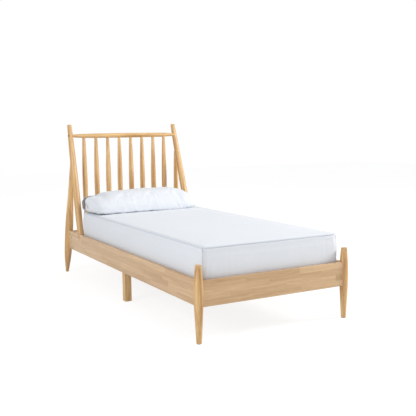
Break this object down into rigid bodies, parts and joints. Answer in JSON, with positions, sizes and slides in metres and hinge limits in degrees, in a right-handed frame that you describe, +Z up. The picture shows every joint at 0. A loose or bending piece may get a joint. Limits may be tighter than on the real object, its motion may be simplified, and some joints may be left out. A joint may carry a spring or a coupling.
{
  "type": "spindle bed",
  "caption": "Single wooden bed with turned posts, a canted headboard of slim turned spindles, a slatted base, a mattress in a fitted sheet and a cased pillow.",
  "frame": {"origin": "on the floor under the middle of the bed's whole box", "axes": "+X across the bed to the right as seen from its foot, +Y from foot to head, +Z up"},
  "size_m": [1.0402, 2.2729, 1.1812],
  "materials": {
    "oiled_wood": "pale finger-jointed hardwood under a satin lacquer",
    "slat_wood": "plain unlacquered pale softwood",
    "zinc_steel": "zinc-plated steel",
    "glide_felt": "felt pad",
    "mattress_ticking": "quilted off-white ticking",
    "white_cotton": "plain white cotton, softly creased",
    "pillow_ticking": "plain off-white cotton ticking"
  },
  "bodies": {
    "frame": {"side_rail_left": "oiled_wood", "side_rail_right": "oiled_wood", "foot_rail": "oiled_wood", "head_rail": "oiled_wood", "headboard_top_rail": "oiled_wood", "foot_post_left": "oiled_wood", "foot_post_right": "oiled_wood", "headboard_post_left": "oiled_wood", "headboard_post_right": "oiled_wood", "back_leg_left": "oiled_wood", "back_leg_right": "oiled_wood", "spindle_1": "oiled_wood", "spindle_2": "oiled_wood", "spindle_3": "oiled_wood", "spindle_4": "oiled_wood", "spindle_5": "oiled_wood", "spindle_6": "oiled_wood", "spindle_7": "oiled_wood", "spindle_8": "oiled_wood", "middle_leg_left": "oiled_wood", "middle_leg_right": "oiled_wood", "cross_beam": "slat_wood", "slat_ledge_left": "slat_wood", "slat_ledge_right": "slat_wood", "corner_block_left": "slat_wood", "corner_block_right": "slat_wood", "slat_1": "slat_wood", "slat_2": "slat_wood", "slat_3": "slat_wood", "slat_4": "slat_wood", "slat_5": "slat_wood", "slat_6": "slat_wood", "slat_7": "slat_wood", "slat_8": "slat_wood", "slat_9": "slat_wood", "slat_10": "slat_wood", "slat_11": "slat_wood", "slat_12": "slat_wood", "slat_13": "slat_wood", "slat_14": "slat_wood", "slat_15": "slat_wood", "slat_screws": "zinc_steel", "ledge_screws": "zinc_steel", "middle_leg_screws": "zinc_steel", "corner_bolts": "zinc_steel", "back_leg_bolts": "zinc_steel", "barrel_nuts": "zinc_steel", "corner_block_screws": "zinc_steel", "headboard_post_bolts": "zinc_steel", "top_rail_bolts": "zinc_steel", "leg_top_screws": "zinc_steel", "foot_rail_studs": "zinc_steel", "crescent_washers": "zinc_steel", "stud_nuts": "zinc_steel", "foot_glides": "glide_felt"},
    "mattress": {"mattress": "mattress_ticking", "fitted_sheet": "white_cotton"},
    "pillow": {"pillow": "pillow_ticking", "pillowcase": "white_cotton"}
  },
  "joints": [
    {"name": "mattress_lift", "type": "slide", "parent": "frame", "child": "mattress", "axis": [0, 0, 1], "range_m": [0, 0.35]},
    {"name": "pillow_lift", "type": "slide", "parent": "mattress", "child": "pillow", "axis": [0, 0, 1], "range_m": [0, 0.35]}
  ]
}
